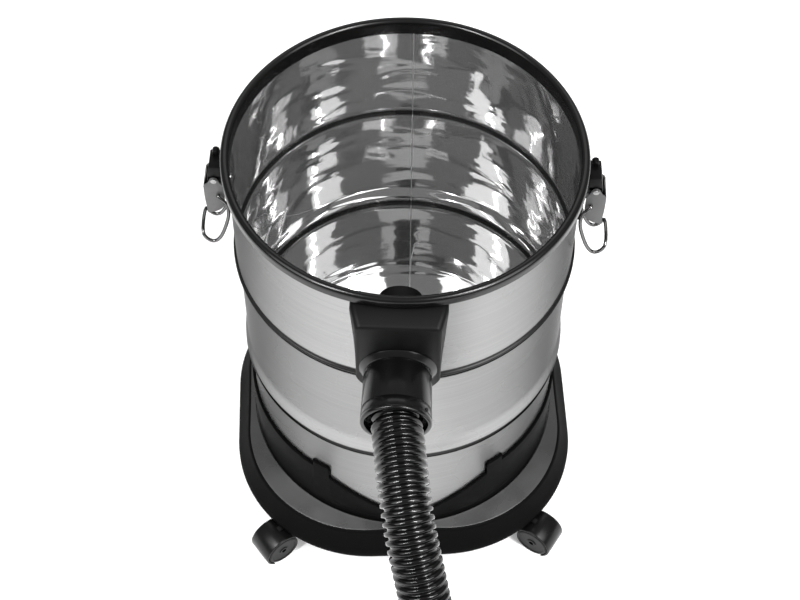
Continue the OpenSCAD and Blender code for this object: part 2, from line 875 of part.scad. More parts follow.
tank_shell();
tank_pan();
rim_ring();
inlet_gasket();
inlet_housing();
inlet_elbow();
inlet_screws();
hose_cuff();
hose_catch();
hose_tube();
hose_end();
latch_rivets();
latch_base(-1);  // latch_base_left
latch_pin(-1);  // latch_pin_left
latch_lever(-1);  // latch_lever_left
latch_bail(-1);  // latch_bail_left
latch_base(1);  // latch_base_right
latch_pin(1);  // latch_pin_right
latch_lever(1);  // latch_lever_right
latch_bail(1);  // latch_bail_right
dolly_body();
cradle_ring();
caster_body(-1, -1);  // caster_body_fl
caster_stem(-1, -1);  // caster_stem_fl
caster_axle(-1, -1);  // caster_axle_fl
wheel(-1, -1, 1);  // wheel_in_fl
wheel(-1, -1, -1);  // wheel_out_fl
caster_body(1, -1);  // caster_body_fr
caster_stem(1, -1);  // caster_stem_fr
caster_axle(1, -1);  // caster_axle_fr
wheel(1, -1, 1);  // wheel_in_fr
wheel(1, -1, -1);  // wheel_out_fr
caster_body(-1, 1);  // caster_body_bl
caster_stem(-1, 1);  // caster_stem_bl
caster_axle(-1, 1);  // caster_axle_bl
wheel(-1, 1, 1);  // wheel_in_bl
wheel(-1, 1, -1);  // wheel_out_bl
caster_body(1, 1);  // caster_body_br
caster_stem(1, 1);  // caster_stem_br
caster_axle(1, 1);  // caster_axle_br
wheel(1, 1, 1);  // wheel_in_br
wheel(1, 1, -1);  // wheel_out_br
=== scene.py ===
import bpy
import math
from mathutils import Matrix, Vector


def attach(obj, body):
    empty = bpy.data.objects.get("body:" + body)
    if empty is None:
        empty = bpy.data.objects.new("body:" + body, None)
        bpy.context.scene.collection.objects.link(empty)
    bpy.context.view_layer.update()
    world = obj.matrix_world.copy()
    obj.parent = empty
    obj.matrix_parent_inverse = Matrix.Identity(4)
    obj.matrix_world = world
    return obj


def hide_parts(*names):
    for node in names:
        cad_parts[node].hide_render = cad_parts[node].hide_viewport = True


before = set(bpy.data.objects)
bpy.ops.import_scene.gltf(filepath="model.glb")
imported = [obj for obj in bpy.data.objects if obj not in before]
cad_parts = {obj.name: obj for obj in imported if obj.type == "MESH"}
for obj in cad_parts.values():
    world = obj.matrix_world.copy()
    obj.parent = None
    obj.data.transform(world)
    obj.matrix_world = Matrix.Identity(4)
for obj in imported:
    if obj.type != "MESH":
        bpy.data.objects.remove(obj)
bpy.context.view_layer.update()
mm = 0.001


def hexColor(text):
    # sRGB hex to linear
    parts = [int(text[i:i + 2], 16) / 255 for i in (1, 3, 5)]
    return tuple(c / 12.92 if c <= 0.04045 else ((c + 0.055) / 1.055) ** 2.4 for c in parts) + (1.0,)


def addNode(tree, kind, inputs=None, stops=None, **settings):
    # one node with its settings, its links and, on a ramp, its colour stops
    node = tree.nodes.new(kind)
    for name, value in settings.items():
        setattr(node, name, value)
    for name, value in (inputs or {}).items():
        socket = node.inputs[name]
        if isinstance(value, bpy.types.NodeSocket):
            tree.links.new(value, socket)
        else:
            socket.default_value = value
    if stops:
        ramp = node.color_ramp
        while len(ramp.elements) < len(stops):
            ramp.elements.new(0.5)
        for element, (position, color) in zip(ramp.elements, stops):
            element.position = position
            element.color = hexColor(color) if isinstance(color, str) else (color, color, color, 1)
    return node


def newMaterial(name):
    material = bpy.data.materials.new(name)
    material.use_nodes = True
    material.node_tree.nodes.clear()
    return material, material.node_tree


def deselect():
    bpy.ops.object.select_all(action='DESELECT')


def choose(piece):
    deselect()
    piece.select_set(True)
    bpy.context.view_layer.objects.active = piece


def settle(piece):
    # place, turn and size go into the mesh
    choose(piece)
    bpy.ops.object.transform_apply(location=True, rotation=True, scale=True)


def placed(piece, x=0, y=0, z=0, turn=(0, 0, 0)):
    # the piece's own place and turn are replaced by these, in millimetres and degrees, and settled
    piece.location = (x * mm, y * mm, z * mm)
    piece.rotation_euler = [math.radians(angle) for angle in turn]
    settle(piece)
    return piece


def useModifier(piece, kind, **settings):
    choose(piece)
    modifier = piece.modifiers.new(kind.title(), kind)
    for name, value in settings.items():
        setattr(modifier, name, value)
    bpy.ops.object.modifier_apply(modifier=modifier.name)


def combine(piece, others, how='DIFFERENCE'):
    # the others are cut out of the piece, or added to it
    for other in others:
        useModifier(piece, 'BOOLEAN', object=other, operation=how, solver='EXACT')
        bpy.data.objects.remove(other)
    return piece


def outward(piece):
    # doubled points are merged, and every face is turned to the outside
    choose(piece)
    bpy.ops.object.mode_set(mode='EDIT')
    bpy.ops.mesh.select_all(action='SELECT')
    bpy.ops.mesh.remove_doubles(threshold=0.000002)
    bpy.ops.mesh.normals_make_consistent(inside=False)
    bpy.ops.object.mode_set(mode='OBJECT')


def bevel(piece, width, segments=2, angle=30):
    useModifier(piece, 'BEVEL', width=width * mm, segments=segments, limit_method='ANGLE',
                angle_limit=math.radians(angle), harden_normals=False)


def joinUp(name, pieces):
    deselect()
    for piece in pieces:
        piece.select_set(True)
    bpy.context.view_layer.objects.active = pieces[0]
    bpy.ops.object.join()
    pieces[0].name = name
    return pieces[0]


def copyOf(piece, name):
    twin = piece.copy()
    twin.data = piece.data.copy()
    twin.name = name
    bpy.context.collection.objects.link(twin)
    return twin


def dress(piece, material, body, nodes=(), angle=35):
    # the last step of each piece: shading, material, body and the solids it stands for
    choose(piece)
    bpy.ops.object.shade_smooth_by_angle(angle=math.radians(angle))
    piece.data.materials.clear()
    for each in (material if isinstance(material, list) else [material]):
        piece.data.materials.append(each)
    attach(piece, body)
    if nodes:
        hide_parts(*nodes)


def circle(name, count, radius=0.01, z=0, **settings):
    # the points that a shape is drawn out from, in metres
    deselect()
    bpy.ops.mesh.primitive_circle_add(vertices=count, radius=radius, location=(0, 0, z), **settings)
    piece = bpy.context.active_object
    piece.name = name
    return piece


def closeEnds(piece, first, last, ends):
    # loop joins the last points to the first, caps closes both ends, open leaves them
    for group in [[*first, *last]] if ends == 'loop' else [first, last]:
        for index in group:
            piece.data.vertices[index].select = True
        bpy.ops.object.mode_set(mode='EDIT')
        if ends == 'loop':
            bpy.ops.mesh.bridge_edge_loops()
        elif ends == 'caps':
            bpy.ops.mesh.edge_face_add()
        bpy.ops.mesh.select_all(action='DESELECT')
        bpy.ops.object.mode_set(mode='OBJECT')
    outward(piece)
    return piece


def turned(name, rings, steps, ends='loop'):
    # drawn out ring by ring as on a lathe; each ring is (radius, height) in millimetres
    piece = circle(name, steps, rings[0][0] * mm, rings[0][1] * mm)
    settle(piece)
    bpy.ops.object.mode_set(mode='EDIT')
    bpy.ops.mesh.select_all(action='SELECT')
    for (r0, z0), (r1, z1) in zip(rings, rings[1:]):
        bpy.ops.mesh.extrude_region_move(TRANSFORM_OT_translate={'value': (0, 0, (z1 - z0) * mm)})
        bpy.ops.transform.resize(value=(r1 / r0, r1 / r0, 1), center_override=(0, 0, 0))
    bpy.ops.mesh.select_all(action='DESELECT')
    bpy.ops.object.mode_set(mode='OBJECT')
    count = len(piece.data.vertices)
    return closeEnds(piece, range(steps), range(count - steps, count), ends)


def lofted(name, sections, ends='caps'):
    # section after section of points in millimetres, each with as many points as the first
    count = len(sections[0])
    piece = circle(name, count)
    bpy.ops.object.mode_set(mode='EDIT')
    bpy.ops.mesh.select_all(action='SELECT')
    for _ in sections[1:]:
        bpy.ops.mesh.extrude_region_move(TRANSFORM_OT_translate={'value': (0, 0, mm)})
    bpy.ops.mesh.select_all(action='DESELECT')
    bpy.ops.object.mode_set(mode='OBJECT')
    for index, point in enumerate(point for section in sections for point in section):
        piece.data.vertices[index].co = Vector(point) * mm
    total = count * len(sections)
    return closeEnds(piece, range(count), range(total - count, total), ends)


def block(name, size, place):
    # a box of that size in millimetres, centred on place
    deselect()
    bpy.ops.mesh.primitive_cube_add(size=1, location=[v * mm for v in place], scale=[v * mm for v in size])
    piece = bpy.context.active_object
    piece.name = name
    settle(piece)
    return piece


def plate(name, outline, depth):
    # an outline in X and Z, drawn out along Y by depth and centred on Y = 0
    piece = circle(name, len(outline), fill_type='NGON')
    for vertex, (x, z) in zip(piece.data.vertices, outline):
        vertex.co = (x * mm, -depth * mm / 2, z * mm)
    bpy.ops.object.mode_set(mode='EDIT')
    bpy.ops.mesh.select_all(action='SELECT')
    bpy.ops.mesh.extrude_region_move(TRANSFORM_OT_translate={'value': (0, depth * mm, 0)})
    bpy.ops.object.mode_set(mode='OBJECT')
    outward(piece)
    return piece


def cornersCut(points, times=2, closed=True):
    # each corner gives way to two points, a quarter of the way along its two sides
    for _ in range(times):
        cut = [] if closed else [points[0]]
        for start, end in zip(points, points[1:] + (points[:1] if closed else [])):
            for share in (0.25, 0.75):
                cut.append(tuple(a + (b - a) * share for a, b in zip(start, end)))
        points = cut + ([] if closed else [points[-1]])
    return points


def wire(name, points, radius, sides=16):
    # a round rod along points in millimetres, its corners cut round
    route = cornersCut(points, closed=False)
    curve = bpy.data.curves.new(name, 'CURVE')
    curve.dimensions = '3D'
    curve.bevel_depth = radius * mm
    curve.bevel_resolution = sides // 4
    curve.use_fill_caps = True
    spline = curve.splines.new('POLY')
    spline.points.add(len(route) - 1)
    for point, place in zip(spline.points, route):
        point.co = (*(v * mm for v in place), 1)
    piece = bpy.data.objects.new(name, curve)
    bpy.context.collection.objects.link(piece)
    choose(piece)
    bpy.ops.object.convert(target='MESH')
    outward(piece)
    return piece


camera = {
    'place': (0.02524, -1.06535, 1.79289),
    'turn': (35.0313, -0.2542, 1.9334),   # degrees
    'lens': 76.5,
    'sensor': 36,
}
lens = bpy.data.cameras.new('camera')
lens.lens = camera['lens']
lens.sensor_width = camera['sensor']
eye = bpy.data.objects.new('camera', lens)
eye.location = camera['place']
eye.rotation_euler = [math.radians(a) for a in camera['turn']]
bpy.context.collection.objects.link(eye)
bpy.context.scene.camera = eye
print('camera set')


# the bands in the steel, the inlet and the rim all follow the tank, so its sizes come first
tank = {
    'radius': 174,
    'sheet': 1,
    'bottom': 92,
    'top': 523,
    'footIn': 5,          # how far the foot and the waist stand in from the radius
    'waistIn': 2.5,
    'lowBead': 0.5,       # how far each bead stands out over the radius
    'highBead': 2.5,
    'steps': (226, 383),  # heights of the two rolled steps
    'flank': 12,
    'flare': 30,
    'beadTop': 4,
    'weldX': 3.5,         # the weld runs down the back, a little to the right
    'weldHalf': 0.5,
}


def mathNode(tree, operation, *values):
    return addNode(tree, 'ShaderNodeMath', dict(enumerate(values)), operation=operation).outputs[0]


def noise(tree, place, scale, detail, **inputs):
    values = {'Vector': place, 'Scale': scale, 'Detail': detail, **inputs}
    return addNode(tree, 'ShaderNodeTexNoise', values).outputs['Fac']


def spreadOut(tree, value, low, high):
    # noise keeps to its middle, which is drawn out here from low to high
    values = {'Value': value, 'From Min': 0.3, 'From Max': 0.7, 'To Min': low, 'To Max': high}
    return addNode(tree, 'ShaderNodeMapRange', values).outputs['Result']


def mixColors(tree, share, first, second):
    return addNode(tree, 'ShaderNodeMix', {0: share, 6: first, 7: second}, data_type='RGBA').outputs[2]


def bumpFrom(tree, height, strength, depth):
    values = {'Height': height, 'Strength': strength, 'Distance': depth * mm}
    return addNode(tree, 'ShaderNodeBump', values).outputs['Normal']


def objectPlace(tree):
    return addNode(tree, 'ShaderNodeTexCoord').outputs['Object']


def addShader(tree, inputs):
    shader = addNode(tree, 'ShaderNodeBsdfPrincipled', inputs)
    addNode(tree, 'ShaderNodeOutputMaterial', {'Surface': shader.outputs['BSDF']})


def plainPlastic(name, color, roughness, spread, shine, grain, size, depth):
    # moulded plastic: a fine grain from the mould, so the gloss breaks up a little
    clouds, darker, lighter = 60, 0.85, 1.2
    material, tree = newMaterial(name)
    place = objectPlace(tree)
    fine = noise(tree, place, 1 / (size * mm), 2, Roughness=0.6)
    broad = noise(tree, place, 1 / (clouds * mm), 3)
    rough = spreadOut(tree, broad, roughness - spread / 2, roughness + spread / 2)
    bump = bumpFrom(tree, fine, grain, depth)
    base = Vector(hexColor(color)[:3])
    tone = mixColors(tree, broad, (*(base * darker), 1), (*(base * lighter), 1))
    addShader(tree, {'Base Color': tone, 'Roughness': rough, 'Normal': bump, 'IOR': 1.5,
                     'Specular IOR Level': shine})
    return material


def stepShadeBand(tree, height, rise, half):
    # 1 in a band round the tank at each rolled step, rise above it, and 0 elsewhere; it masks the painted shade at
    # the steps
    fade, bands = 2, []
    for step in tank['steps']:
        off = mathNode(tree, 'ABSOLUTE', mathNode(tree, 'SUBTRACT', height, (step + rise) * mm))
        values = {'Value': off, 'From Min': half * mm, 'From Max': (half + fade) * mm, 'To Min': 1.0, 'To Max': 0.0}
        band = addNode(tree, 'ShaderNodeMapRange', values, interpolation_type='SMOOTHSTEP')
        bands.append(band.outputs['Result'])
    return mathNode(tree, 'MAXIMUM', *bands)


def brushedSteel():
    # stainless sheet brushed round the tank: the fine lines draw each highlight out up and down
    material, tree = newMaterial('brushedStainless')
    place = objectPlace(tree)
    parts = addNode(tree, 'ShaderNodeSeparateXYZ', {'Vector': place})
    long = addNode(tree, 'ShaderNodeMapping', {'Vector': place, 'Scale': (4, 4, 900)})
    lines = noise(tree, long.outputs['Vector'], 1.0, 3, Roughness=0.6)
    broad = noise(tree, place, 9, 2)
    tone = addNode(tree, 'ShaderNodeValToRGB', {'Fac': lines}, stops=[(0.3, '#949494'), (0.7, '#9e9e9e')])
    # painted shade: the steep, downward-facing flank under each bead is painted darker, towards #404040
    flank = stepShadeBand(tree, parts.outputs['Z'], 5, 6)
    shadedFlank = mixColors(tree, flank, tone.outputs['Color'], hexColor('#404040'))
    rough = spreadOut(tree, broad, 0.25, 0.31)
    bump = bumpFrom(tree, lines, 0.05, 0.02)
    # the grey Specular Tint keeps the far edges from going white: painted shade at the edges, for the darker
    # surroundings they would mirror
    addShader(tree, {'Base Color': shadedFlank, 'Metallic': 1.0, 'Roughness': rough, 'Normal': bump,
                     'Specular Tint': hexColor('#808080')})
    return material


def polishedSteel():
    # the same sheet left bright inside: near a mirror, and rolled a little wavy, so what it mirrors makes streaks
    material, tree = newMaterial('polishedStainless')
    place = objectPlace(tree)
    parts = addNode(tree, 'ShaderNodeSeparateXYZ', {'Vector': place})
    flat = addNode(tree, 'ShaderNodeMapping', {'Vector': place, 'Scale': (1, 1, 2.6)})
    waves = noise(tree, flat.outputs['Vector'], 1 / (95 * mm), 1.2, Distortion=0.5)
    bump = bumpFrom(tree, waves, 1.0, 1.3)
    # painted shade: darker in the hollow of each step; and a thin dull line where the sheet is welded, down the
    # back
    band = stepShadeBand(tree, parts.outputs['Z'], 1, 1.5)
    shadedHollow = mixColors(tree, band, hexColor('#c4c4c4'), hexColor('#4c4c4c'))
    off = mathNode(tree, 'ABSOLUTE', mathNode(tree, 'SUBTRACT', parts.outputs['X'], tank['weldX'] * mm))
    near = mathNode(tree, 'LESS_THAN', off, tank['weldHalf'] * mm)
    behind = mathNode(tree, 'GREATER_THAN', parts.outputs['Y'], 0.1)
    weld = mathNode(tree, 'MULTIPLY', near, behind)
    rough = addNode(tree, 'ShaderNodeMapRange', {'Value': weld, 'To Min': 0.045, 'To Max': 0.5})
    addShader(tree, {'Base Color': shadedHollow, 'Metallic': 0.91, 'Roughness': rough.outputs['Result'], 'Normal': bump})
    return material


def plainMetal(name, color, roughness, spread, metallic=1.0, edge='#ffffff'):
    # plated or pressed metal: clouds of slightly duller plating, as handling leaves it
    clouds, smoothest = 8, 0.03
    material, tree = newMaterial(name)
    dull = noise(tree, objectPlace(tree), 1 / (clouds * mm), 3)
    rough = spreadOut(tree, dull, max(smoothest, roughness - spread / 2), roughness + spread / 2)
    # edge sets the Specular Tint; a dark one paints shade along grazing edges
    addShader(tree, {'Base Color': hexColor(color), 'Metallic': metallic, 'Roughness': rough,
                     'Specular Tint': hexColor(edge)})
    return material


glossPvc = plainPlastic('glossPvc', '#050505', 0.12, 0.04, 0.3, grain=0.08, size=1.2, depth=0.01)
satinAbs = plainPlastic('satinAbs', '#090909', 0.42, 0.08, 0.1, grain=0.2, size=0.7, depth=0.02)
halfGlossAbs = plainPlastic('halfGlossAbs', '#070707', 0.2, 0.05, 0.3, grain=0.1, size=0.7, depth=0.01)
# the deck's grey base, lighter than the lip's, is painted sheen for the up-facing faces lit from overhead; its
# smoother, glossier finish is its own
sheenDeckPp = plainPlastic('mouldedPolypropyleneSheen', '#2c2c2c', 0.3, 0.24, 0.9, grain=0.2, size=0.8, depth=0.03)
lipPp = plainPlastic('grainedPolypropylene', '#050505', 0.6, 0.1, 0.04, grain=0.3, size=0.8, depth=0.03)
nylon = plainPlastic('casterNylon', '#080808', 0.28, 0.08, 0.22, grain=0.15, size=0.6, depth=0.01)
wheelPp = plainPlastic('wheelPolypropylene', '#070707', 0.4, 0.1, 0.12, grain=0.3, size=0.6, depth=0.02)
outerSteel = brushedSteel()
innerSteel = polishedSteel()
# the chrome's dark edge tint is painted shade along the wire's outlines, for the dark surroundings they would
# mirror
chrome = plainMetal('chromePlate', '#6a6a6a', 0.06, 0.04, edge='#303030')
zinc = plainMetal('zincPlate', '#5c5c5c', 0.42, 0.12, metallic=0.7)
steel = plainMetal('plainSteel', '#8c8c8c', 0.25, 0.1)
darkSteel = plainMetal('blackenedSteel', '#161616', 0.45, 0.1)
print('materials made')


hose = {
    'length': 1.468,      # m, along the middle
    'crest': 24.5,        # mm, radius over the ribs
    'valley': 20.8,
    'pitch': 8.2,
    'drop': [(0, -212, 435), (0.5, -250, 433), (4, -276, 430.5), (10, -318, 421), (18, -354, 400),
             (28, -384, 370), (38, -410, 333), (50, -435, 288), (64, -457, 238), (82, -475, 187),
             (106, -489, 137), (138, -499, 92), (178, -506, 55), (225, -510, 33), (275, -510, 25)],
    'loopR': 205,         # the loop on the floor goes on from the drop's last point
    'loopHeight': 26,
    'loopTurns': range(24, 223, 18),
}


def hoseRoute():
    r, (startX, startY, _) = hose['loopR'], hose['drop'][-1]
    loop = []
    for turn in hose['loopTurns']:
        a = math.radians(turn)
        loop.append((startX + r * math.sin(a), startY - r + r * math.cos(a), hose['loopHeight']))
    return [Vector(p) * mm for p in hose['drop'] + loop]


def makeHose():
    route = hoseRoute()
    curve = bpy.data.curves.new('hoseLine', 'CURVE')
    curve.dimensions = '3D'
    curve.twist_mode = 'Z_UP'
    curve.resolution_u = 16
    spline = curve.splines.new('BEZIER')
    spline.bezier_points.add(len(route) - 1)
    for point, place in zip(spline.bezier_points, route):
        point.co = place
        point.handle_left_type = point.handle_right_type = 'AUTO'
    line = bpy.data.objects.new('hoseLine', curve)
    bpy.context.collection.objects.link(line)
    bpy.context.view_layer.update()
    flat = line.to_mesh()
    path = [v.co.copy() for v in flat.vertices]
    line.to_mesh_clear()
    length = sum((b - a).length for a, b in zip(path, path[1:]))

    # one rib, repeated along the hose and bent along its line
    high, low, soft = hose['crest'], hose['valley'], 0.5
    ribs = round(length / mm / hose['pitch'])
    p = length / mm / ribs
    section = [(low, 0), (low + soft, 0.10 * p), (high - soft, 0.18 * p), (high, 0.30 * p), (high, 0.50 * p),
               (high - soft, 0.62 * p), (low + soft, 0.72 * p), (low, 0.82 * p), (low, p)]
    tube = placed(turned('hoseTube', section, steps=26, ends='open'), turn=(0, 90, 0))
    useModifier(tube, 'ARRAY', fit_type='FIXED_COUNT', count=ribs, use_relative_offset=False,
                use_constant_offset=True, constant_offset_displace=(p * mm, 0, 0), use_merge_vertices=True,
                merge_threshold=0.00002)
    useModifier(tube, 'CURVE', object=line, deform_axis='POS_X')
    bpy.data.objects.remove(line)
    choose(tube)
    bpy.ops.object.mode_set(mode='EDIT')
    bpy.ops.mesh.select_all(action='SELECT')
    bpy.ops.mesh.fill_holes(sides=0)
    bpy.ops.object.mode_set(mode='OBJECT')
    outward(tube)
    dress(tube, glossPvc, 'vacuum', ['hose_tube'], 60)
    return tube, path, length


hoseTube, hosePath, hoseLength = makeHose()
print('hose laid, metres:', round(hoseLength, 3))


def makeTank():
    def ease(r0, z0, r1, z1):
        # a soft S from one radius and height to the next
        count = 12
        return [(r0 + (r1 - r0) * (0.5 - 0.5 * math.cos(math.pi * i / count)), z0 + (z1 - z0) * i / count)
                for i in range(count + 1)]

    def line(radius):
        (low, high), half = tank['steps'], tank['flank'] / 2
        foot, waist = radius - tank['footIn'], radius - tank['waistIn']
        lowBead, highBead = radius + tank['lowBead'], radius + tank['highBead']
        points = [(foot, tank['bottom'])] + ease(foot, low - half, lowBead, low + half)
        points += ease(lowBead, low + half + 1, waist, low + half + tank['flare'])
        points += ease(waist, high - half, highBead, high + half)
        points += ease(highBead, high + half + 1, radius, high + half + 1 + tank['beadTop'])
        return points + [(radius, tank['top'])]

    inside = line(tank['radius'] - tank['sheet'])[::-1]
    wall = turned('tankWall', line(tank['radius']) + inside, steps=192)
    dress(wall, [outerSteel, innerSteel], 'vacuum', ['tank_shell'], 50)
    for face in wall.data.polygons:
        across = Vector((face.center.x, face.center.y, 0))
        if across.dot(face.normal) < 0:
            face.material_index = 1     # the polished inside


rim = {
    'outer': 180,
    'inner': 171.3,
    'top': 522.6,
    'rise': 4.4,          # of the rounded crest over the top
    'skirt': 516,         # lower edge outside the tank
    'low': 509,           # lower edge inside it
    'groove': (172.9, 174.1, 520),   # radii and top of the groove that takes the tank's edge
}


def makeRim():
    outer, inner, skirt, low = rim['outer'], rim['inner'], rim['skirt'], rim['low']
    grooveIn, grooveOut, grooveTop = rim['groove']
    middle, half = (outer + inner) / 2, (outer - inner) / 2
    crest = []
    for angle in range(0, 181, 12):
        a = math.radians(angle)
        crest.append((middle + half * math.cos(a), rim['top'] + rim['rise'] * math.sin(a)))
    rings = [(outer - 0.5, skirt), (outer, skirt + 0.5)] + crest + [(inner, low + 0.4), (inner + 0.4, low)]
    rings += [(grooveIn, low), (grooveIn, grooveTop), (grooveOut, grooveTop), (grooveOut, skirt)]
    dress(turned('rimRing', rings, steps=192), halfGlossAbs, 'vacuum', ['rim_ring'], 40)


makeTank()
makeRim()
print('tank and rim made')


inlet = {
    'height': 437,        # of the inlet's axis where it meets the tank wall
    'tilt': 3,            # degrees, outer end down
    'out': 22,            # depth of the housing in front of the wall
    'spout': [(24, 18), (37.5, 21.4), (36.6, 22.6), (34.6, 24.2), (33.4, 25.6), (32.6, 26.2), (31.7, 26.4),
              (31.7, 27.0), (32.2, 27.4), (32.5, 28.2), (33.25, 65.9), (33.0, 66), (29, 66), (29, 30), (24, 30)],
}
housing = {
    'wide': 46,           # half width at the wall
    'face': 40,           # half width in front
    'roundR': 43,
    'up': 76,
    'slope': 7,           # how far the top falls from the wall to the front
    'corner': 6,
    'back': 176,
    # distance from the tank's middle, and drop of the top
    'front': ((185, 0), (193, 0), (194.6, 0.3), (195.6, 1.0)),
    'faceIn': 1.6,
    'faceDrop': 2.4,
}


def alongInlet(piece):
    # from the lathe's axis to the inlet's axis, which starts at the tank wall and points down a little
    return placed(piece, y=-tank['radius'], z=inlet['height'], turn=(90 + inlet['tilt'], 0, 0))


def makeHousing():
    wide, radius, back = housing['wide'], tank['radius'], housing['back']

    def outline(half, top):
        # half width and top height over the inlet's axis; the bottom is a half circle
        c, points = housing['corner'], []
        for k in range(9):
            a = math.radians(90 * k / 8)
            points.append((half - c + c * math.cos(a), top - c + c * math.sin(a)))
        points += [(-x, z) for x, z in points[::-1]]
        down = math.acos(housing['roundR'] / wide)
        for k in range(33):
            a = math.pi + down + (math.pi - 2 * down) * k / 32
            x = housing['roundR'] * math.cos(a)
            points.append((max(-half, min(half, x)), housing['roundR'] * math.sin(a)))
        return points

    def section(y, half, drop=0, curved=False):
        top = housing['up'] - housing['slope'] * max(0, y - radius) / inlet['out'] - drop
        made = []
        for x, z in outline(half, top):
            depth = math.sqrt(radius ** 2 - x * x) + 0.2 if curved else y
            made.append((x, -depth, inlet['height'] + z))
        return made

    slant = (wide - housing['face']) / (inlet['out'] - 2)
    sections = [section(radius, wide, curved=True), section(back, wide)]
    sections += [section(y, wide - slant * (y - back), drop) for y, drop in housing['front']]
    sections += [section(radius + inlet['out'], housing['face'] - housing['faceIn'], housing['faceDrop'])]
    shell = lofted('inletHousing', sections)
    bevel(shell, 1.0, angle=40)
    dress(shell, satinAbs, 'vacuum', ['inlet_housing', 'inlet_gasket'], 40)
    dress(alongInlet(turned('inletSpout', inlet['spout'], steps=96)), halfGlossAbs, 'vacuum', (), 40)


# plugs into the spout; the hose is held in its bore
cuffRings = [(24.9, 31), (28.9, 31), (28.9, 66.1), (33.1, 66.1), (33.35, 66.4), (33.7, 74.6), (33.4, 74.9),
             (33.1, 75.2), (33.1, 75.7), (33.5, 76.1), (33.8, 76.6), (33.8, 78.4), (33.4, 79.4), (32.6, 80),
             (30.4, 80), (29.7, 79.4), (29.5, 78.6), (29.5, 69), (24.9, 69)]


def makeCuff():
    cuff = alongInlet(turned('hoseCuff', cuffRings, steps=96))
    dress(cuff, halfGlossAbs, 'vacuum', ['hose_cuff'], 40)
    return cuff


elbow = {
    'reach': 60,          # length inside the tank, along the inlet
    'outside': {'radius': 21, 'low': 41, 'start': -1.6},
    'bore': {'radius': 18, 'low': 44, 'start': 4},
    # radius, and distance from the tank's middle
    'flange': ((36, 172.9), (36, 171), (35, 170.2), (20.8, 170.2), (20.8, 172.9)),
}


def makeElbow():
    def run(radius, low, start):
        # straight in along the inlet; the ball and the short leg stand at the wall, hidden by the housing
        level = turned('run', [(radius, start), (radius, -elbow['reach'])], steps=48, ends='caps')
        bpy.ops.mesh.primitive_uv_sphere_add(segments=48, ring_count=24, radius=radius * 1.001 * mm)
        ball = alongInlet(bpy.context.active_object)
        bpy.ops.mesh.primitive_cylinder_add(vertices=48, radius=radius * mm, depth=low * mm)
        leg = alongInlet(bpy.context.active_object)
        return combine(alongInlet(level), [ball, leg], 'UNION')

    tube = combine(run(**elbow['outside']), [run(**elbow['bore'])])
    flange, count = [], 64
    for radius, depth in elbow['flange']:
        ring = []
        for k in range(count):
            a = math.tau * k / count
            x, z = radius * math.cos(a), radius * math.sin(a)
            ring.append((x, -math.sqrt(depth ** 2 - x * x), inlet['height'] + z))
        flange.append(ring)
    piece = joinUp('innerElbow', [tube, lofted('elbowFlange', flange, 'loop')])
    dress(piece, satinAbs, 'vacuum', ['inlet_elbow'], 40)


makeHousing()
hoseCuff = makeCuff()
makeElbow()
print('inlet made')


# the lip, three grips and the sleeve of the fitting at the hose's far end
endRings = [(19, 12), (24.5, 0), (25.4, 0.8), (26, 2), (26, 8), (25.4, 9), (25.4, 11), (26, 12), (26, 18),
            (25.4, 19), (25.4, 21), (26, 22), (26, 30), (24.8, 34), (24.2, 69), (23.8, 71.4), (22.8, 72),
            (19.6, 72), (19, 71.4)]


def makeHoseEnd():
    end = turned('hoseEnd', endRings, steps=72)
    before, last = hoseRoute()[-2:]
    along = (last - before).normalized()
    end.rotation_euler = Vector((0, 0, 1)).rotation_difference(along).to_euler()
    end.location = last
    settle(end)
    dress(end, satinAbs, 'vacuum', ['hose_end'], 40)
    return end


hoseEnd = makeHoseEnd()
print('hose end made')


latch = {
    'hingeX': 188.5,
    'hingeZ': 487,
    'pivotX': 185.5,
    'pivotZ': 465.5,
    'wide': 24,           # of the base and its block
    'wall': 173,          # the knuckle starts inside the tank's sheet
    'foot': (173.6, 178, 439.5, 491.5),   # the plate on the tank: from and to in X and Z
    'besideRim': 180.8,
    'blockHigh': 18,      # over the hinge
    'knob': [(2.9, 3.4), (3.5, 4), (3.5, 10.4), (2.9, 11)],
    'knobX': 186.5,
    'knobUp': 20.8,
    'cheek': 13.8,
    'leg': 17.5,
    'wire': 1.8,
    'sheet': 1.5,
    'pin': [(1.99, -15.2), (3.1, -15.0), (3.4, -14.4), (3.4, -13.9), (1.99, -13.9),
            (1.99, 13.9), (3.4, 13.9), (3.4, 14.4), (3.1, 15.0), (1.99, 15.2)],
}


